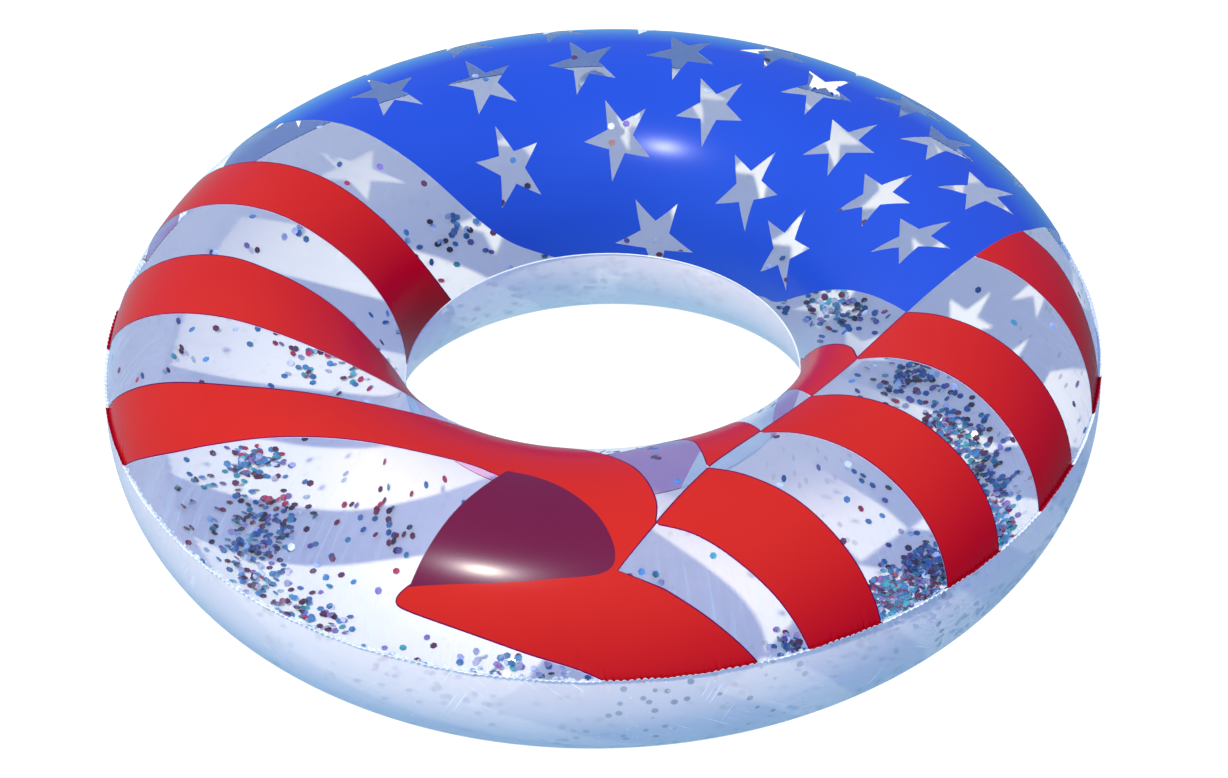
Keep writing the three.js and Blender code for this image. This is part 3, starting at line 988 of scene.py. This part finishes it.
def moulded_vinyl():
    shader = Shader("moulded_vinyl").set(Roughness=0.3, IOR=1.5, Alpha=0.9)
    shader.link("Base Color", shader.mix(shader.noise(160), srgb(205, 220, 236), srgb(232, 240, 248)))
    return shader.bump(shader.noise(700, 3), 0.1, 0.0003).material


FOIL_COLOURS = {
    "blue": srgb(50, 98, 156),
    "violet": srgb(102, 84, 156),
    "crimson": srgb(132, 14, 64),
    "maroon": srgb(68, 12, 58),
    "aqua": srgb(46, 132, 158),
    "silver": srgb(196, 206, 236),
}


# ---------------------------------------------------------------- stage

def floor():
    """Plain white floor. The light that it would throw back is the lower half of the world's."""
    bpy.ops.mesh.primitive_plane_add(size=12, location=(0, 0, 0))
    plane = bpy.context.object
    plane.name = "floor"
    shader = Shader("floor").set(Base_Color=(0.1, 0.1, 0.1, 1), Roughness=0.9, Specular_IOR_Level=0.0)
    shader.set(Emission_Color=(1, 1, 1, 1), Emission_Strength=1.0)
    plane.data.materials.append(shader.material)
    plane.visible_diffuse = False
    plane.visible_glossy = False
    plane.visible_shadow = False


def camera():
    data = bpy.data.cameras.new("camera")
    data.lens = CAMERA_LENS
    data.sensor_width = 36
    data.shift_x, data.shift_y = CAMERA_SHIFT
    data.clip_end = 100
    eye = bpy.data.objects.new("camera", data)
    bpy.context.scene.collection.objects.link(eye)
    back = Vector((0, -math.cos(CAMERA_ELEVATION), math.sin(CAMERA_ELEVATION)))
    eye.matrix_world = Matrix.Translation(Vector((0, 0, MID_HEIGHT)) + back * CAMERA_DISTANCE) \
        @ back.to_track_quat("Z", "Y").to_matrix().to_4x4() @ Matrix.Rotation(CAMERA_ROLL, 4, "Z")
    bpy.context.scene.camera = eye


def studio():
    """Blue light from above and bounce from below, both brighter on the sun's side."""
    world = bpy.data.worlds.new("world")
    world.use_nodes = True
    nodes = Nodes(world.node_tree, "Background")
    direction = nodes.tree.nodes.new("ShaderNodeTexCoord").outputs["Generated"]
    near_sun = nodes.range(nodes.dot(direction, SUN_FROM), -1, 1, 0, 1)
    above = nodes.mix(near_sun, SKY_FAR, SKY_NEAR)
    sun_side = nodes.range(nodes.dot(direction, (SUN_FROM[0], SUN_FROM[1], 0)), -0.5, 0.5, 0, 1)
    below = nodes.mix(sun_side, BOUNCE_FAR, BOUNCE_NEAR)
    upward = nodes.range(nodes.dot(direction, (0, 0, 1)), -0.08, 0.08, 0, 1)
    nodes.link("Color", nodes.mix(upward, below, above))
    bpy.context.scene.world = world
    bpy.context.scene.view_settings.view_transform = "Standard"


def sun():
    light = bpy.data.lights.new("sun", "SUN")
    light.energy = SUN_ENERGY
    light.color = SUN_COLOUR
    light.angle = math.radians(1.2)
    lamp = bpy.data.objects.new("sun", light)
    lamp.rotation_euler = Vector(SUN_FROM).to_track_quat("Z", "Y").to_euler()
    bpy.context.scene.collection.objects.link(lamp)


# ---------------------------------------------------------------- assembly

def film_inks():
    """Materials of the top film, in the order of the ink numbers."""
    return [
        clear_film("clear_film", 0),
        # The red's third colour is painted shade, a deeper crimson for faces turned away from the sun.
        ink("red_ink", srgb(164, 30, 24), srgb(174, 38, 30), srgb(172, 0, 24)),
        # The blue's rim colour is cyan at grazing angles, partly the film's own tint and partly a painted
        # reflection of the sky.
        ink("blue_ink", srgb(24, 62, 172), srgb(30, 70, 180), rim=srgb(76, 146, 190), gloss=0.5),
        ink("maroon_ink", srgb(84, 14, 44), srgb(94, 20, 52), gloss=0.45, coat=0.1),
        ink("dark_edge_ink", srgb(70, 0, 62), srgb(78, 4, 70)),
        ink("pale_edge_ink", srgb(214, 186, 214), srgb(226, 200, 226)),
        ink("warm_backing", srgb(226, 176, 214), srgb(236, 188, 222)),
        ink("cool_backing", srgb(172, 188, 226), srgb(186, 200, 232)),
        clear_film("clear_inside", 0.8),
    ]


def add_films():
    """Both films and both seams, each standing for its CAD node."""
    inks = film_inks()
    top = panel("top_film", 1, printed_areas(), [], BACK_OF)
    bottom = panel("bottom_film", -1, [], [valve_outline()], (1,))
    milky = [
        # The outer film's first colour is painted shade low down, and its last is painted light round the
        # hole.
        milky_film("milky_film", srgb(120, 148, 188), srgb(204, 198, 206), srgb(237, 227, 236)),
        milky_film("milky_inside", srgb(222, 233, 252), srgb(228, 236, 253), srgb(236, 240, 252)),
    ]
    welded = [weld_film(), ink("welded_red", srgb(126, 2, 30), srgb(142, 4, 38)), *inks[2:]]
    outer = seam("outer_weld", SEAM_ANGLE, OUTER_FLANGE, OUTER_CURL, PLEATS * STEPS_PER_PLEAT, True)
    inner = seam("inner_weld", math.pi, INNER_FLANGE, INNER_CURL, 2 * PLEATS, False)
    for piece, node, slot, materials in (
            (top, "top_panel", "clear_vinyl", inks), (bottom, "bottom_panel", "milky_vinyl", milky),
            (outer, "outer_seam", "weld_vinyl", welded), (inner, "inner_seam", "weld_vinyl", welded)):
        for material in materials:
            piece.data.materials.append(material)
        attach(piece, "ring")
        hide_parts(node)


def add_glitter():
    """Loose flakes, and the same foils on the CAD's own flakes."""
    foils = {name: foil(f"{name}_foil", colour) for name, colour in FOIL_COLOURS.items()}
    for piece, name in zip(glitter(), FLAKE_COLOURS):
        piece.data.materials.append(foils[name])
        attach(piece, "ring")
    for name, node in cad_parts.items():
        if name.startswith("glitter_"):
            paint(node, foils[name.split("_")[1]])


def add_valve():
    vinyl = moulded_vinyl()
    for piece, body, node in valve_pieces():
        piece.data.materials.clear()
        piece.data.materials.append(vinyl)
        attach(piece, body)
        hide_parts(node)


def paint(node, material):
    for slot in node.material_slots:
        slot.material = material


camera()
floor()
studio()
sun()
add_films()
add_glitter()
add_valve()
